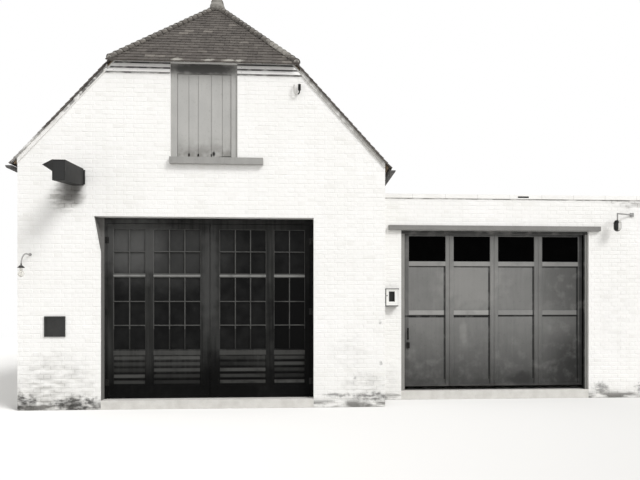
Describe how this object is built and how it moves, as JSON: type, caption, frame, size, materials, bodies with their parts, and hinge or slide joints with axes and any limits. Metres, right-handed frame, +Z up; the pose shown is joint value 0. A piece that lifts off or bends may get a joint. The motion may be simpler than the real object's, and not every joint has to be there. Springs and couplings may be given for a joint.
{
  "type": "fire station",
  "caption": "Small whitewashed brick fire station with a half-hipped tiled roof, tall glazed engine doors, a loft door over them and a lower flat-roofed garage wing.",
  "frame": {"origin": "middle of the main block's front wall, at its outer face, on the ground that the walls stand on", "axes": "+Z up, the street front faces -Y, +X runs along the front towards the lower wing"},
  "size_m": [11.692, 9.5506, 7.7148],
  "materials": {
    "whitewashed_brick": "matte",
    "wing_brick": "matte",
    "concrete_floor": "matte",
    "floor_planks": "matte",
    "clay_tiles": "matte",
    "ridge_clay": "matte",
    "verge_mortar": "matte",
    "painted_boards": "satin",
    "painted_gutter": "satin",
    "painted_frame": "satin",
    "loft_door_paint": "satin",
    "door_paint": "gloss",
    "window_glass": "gloss",
    "hinge_iron": "satin",
    "roofing_felt": "matte",
    "coping_concrete": "matte",
    "wing_door_paint": "satin",
    "black_iron": "satin",
    "plate_enamel": "satin",
    "box_paint": "gloss",
    "lamp_housing": "satin",
    "lamp_glass": "gloss"
  },
  "bodies": {
    "building": {"drip_board": "painted_frame", "engine_door_frame": "door_paint", "engine_hinges": "hinge_iron", "floodlight": "lamp_housing", "front_gable": "whitewashed_brick", "front_piers": "whitewashed_brick", "gable_hook": "black_iron", "gutters": "painted_gutter", "hip_front": "clay_tiles", "hip_rear": "clay_tiles", "hip_tiles": "ridge_clay", "lamp_glasses": "lamp_glass", "left_wall": "whitewashed_brick", "loft_door": "loft_door_paint", "loft_door_frame": "painted_frame", "loft_floor": "floor_planks", "loft_sill": "painted_frame", "main_floor": "concrete_floor", "rear_wall": "whitewashed_brick", "ridge_tiles": "ridge_clay", "right_wall": "whitewashed_brick", "roof_left": "clay_tiles", "roof_right": "clay_tiles", "swan_neck_lamp": "black_iron", "verge_strips": "verge_mortar", "wall_box": "box_paint", "wall_plate": "plate_enamel", "weatherboards": "painted_boards", "wing_coping": "coping_concrete", "wing_door_frame": "painted_frame", "wing_door_glass": "window_glass", "wing_door_handle": "black_iron", "wing_door_leaves": "wing_door_paint", "wing_end_wall": "wing_brick", "wing_floor": "concrete_floor", "wing_front_wall": "wing_brick", "wing_lamp": "black_iron", "wing_rear_wall": "wing_brick", "wing_roof": "roofing_felt"},
    "engine_leaf_left": {"engine_door_left": "door_paint", "engine_glass_left": "window_glass", "hinge_straps_left": "hinge_iron"},
    "engine_leaf_right": {"engine_door_right": "door_paint", "engine_glass_right": "window_glass", "hinge_straps_right": "hinge_iron"}
  },
  "joints": [
    {"name": "engine_door_left_hinge", "type": "hinge", "parent": "building", "child": "engine_leaf_left", "pos_m": [-1.675, 0.19, 1.64], "axis": [0, 0, -1], "range_deg": [0, 90]},
    {"name": "engine_door_right_hinge", "type": "hinge", "parent": "building", "child": "engine_leaf_right", "pos_m": [1.799, 0.19, 1.64], "axis": [0, 0, 1], "range_deg": [0, 90]}
  ]
}
